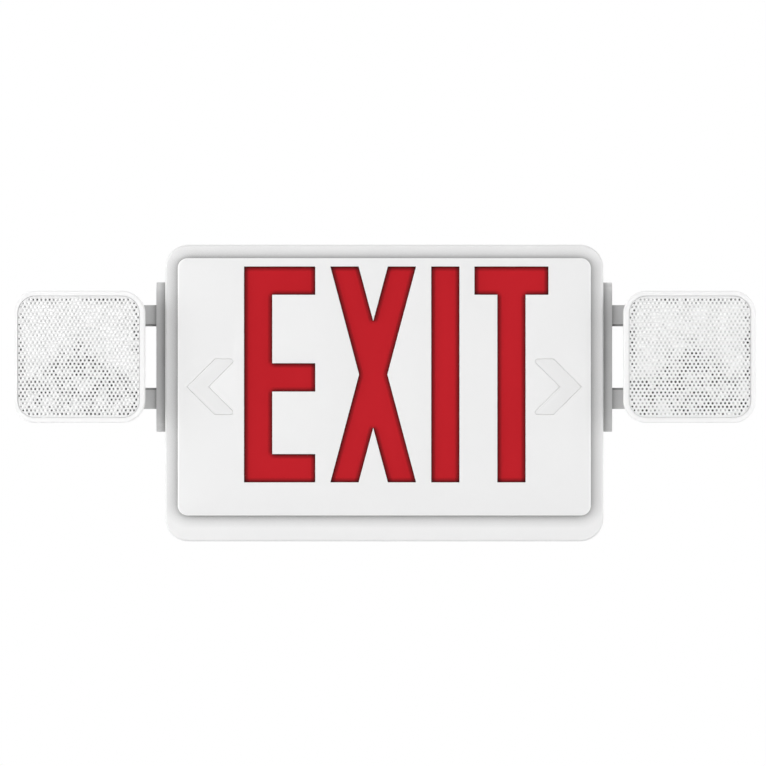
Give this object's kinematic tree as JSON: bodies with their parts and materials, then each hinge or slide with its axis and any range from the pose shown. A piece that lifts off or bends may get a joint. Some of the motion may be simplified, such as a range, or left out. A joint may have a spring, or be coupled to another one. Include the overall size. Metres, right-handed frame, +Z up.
{
  "type": "emergency exit light",
  "caption": "Wall-mounted exit sign with a red-backed legend face, direction inserts and a square lamp head on a tilt and pan bracket at each side.",
  "frame": {"origin": "centre of the wire entry in the back plate, on the wall plane", "axes": "+X to the viewer's right along the sign, +Y into the wall, +Z up"},
  "size_m": [0.523, 0.061, 0.2096],
  "materials": {
    "white_case": "fine satin moulded plastic",
    "white_face": "fine satin moulded plastic",
    "white_insert": "satin moulded plastic",
    "white_tray": "plain moulded plastic",
    "white_bracket": "satin moulded plastic",
    "white_head": "satin moulded plastic",
    "red_panel": "translucent satin red",
    "clear_lens": "clear prismatic plastic",
    "clear_pipe": "clear polished plastic",
    "metallised_cup": "bright metallised",
    "button_plastic": "satin moulded plastic",
    "dark_plastic": "satin moulded plastic",
    "terminal_body": "satin moulded plastic",
    "board_green": "coated board",
    "board_white": "coated board",
    "board_aluminium": "coated aluminium",
    "led_package": "clear resin over yellow phosphor",
    "can_sleeve": "shrink sleeve",
    "laminated_iron": "varnished laminations",
    "tape_yellow": "winding tape",
    "battery_film": "shrink film",
    "zinc_steel": "zinc plated"
  },
  "bodies": {
    "case": {"housing": "white_case", "face_plate": "white_face", "chevron_right": "white_insert", "chevron_left": "white_insert", "red_diffuser": "red_panel", "light_box": "white_tray", "led_strip_upper": "board_white", "led_strip_lower": "board_white", "leds_upper": "led_package", "leds_lower": "led_package", "back_plate": "white_tray", "control_board": "board_green", "board_screws": "zinc_steel", "terminal_block": "terminal_body", "relay": "dark_plastic", "lamp_connectors": "white_insert", "capacitors": "can_sleeve", "test_switch": "dark_plastic", "status_lens": "clear_pipe", "status_led": "led_package", "transformer_core": "laminated_iron", "transformer_coil": "tape_yellow", "battery_pack": "battery_film", "battery_clip": "zinc_steel", "clip_screws": "zinc_steel"},
    "button": {"test_button": "button_plastic", "switch_plunger": "dark_plastic"},
    "left_bracket": {"left_yoke": "white_bracket", "left_friction_washer": "dark_plastic", "left_stop_washer": "zinc_steel", "left_hub_nut": "white_tray"},
    "left_lamp": {"left_head_shell": "white_head", "left_lens": "clear_lens", "left_reflector": "metallised_cup", "left_led_board": "board_aluminium", "left_head_led": "led_package", "left_pan_pins": "white_bracket"},
    "right_bracket": {"right_yoke": "white_bracket", "right_friction_washer": "dark_plastic", "right_stop_washer": "zinc_steel", "right_hub_nut": "white_tray"},
    "right_lamp": {"right_head_shell": "white_head", "right_lens": "clear_lens", "right_reflector": "metallised_cup", "right_led_board": "board_aluminium", "right_head_led": "led_package", "right_pan_pins": "white_bracket"}
  },
  "joints": [
    {"name": "left_tilt", "type": "hinge", "parent": "case", "child": "left_bracket", "pos_m": [-0.1551, -0.027, 0.0255], "axis": [1, 0, 0], "range_deg": [-25, 25]},
    {"name": "left_pan", "type": "hinge", "parent": "left_bracket", "child": "left_lamp", "pos_m": [-0.215, -0.027, 0.0255], "axis": [0, 0, 1], "range_deg": [-20, 20]},
    {"name": "right_tilt", "type": "hinge", "parent": "case", "child": "right_bracket", "pos_m": [0.1551, -0.027, 0.0255], "axis": [1, 0, 0], "range_deg": [-25, 25]},
    {"name": "right_pan", "type": "hinge", "parent": "right_bracket", "child": "right_lamp", "pos_m": [0.215, -0.027, 0.0255], "axis": [0, 0, 1], "range_deg": [-20, 20]},
    {"name": "test_press", "type": "slide", "parent": "case", "child": "button", "axis": [0, 0, 1], "range_m": [0, 0.0015], "stiffness_N_per_m": 300, "springref_m": -0.002}
  ]
}
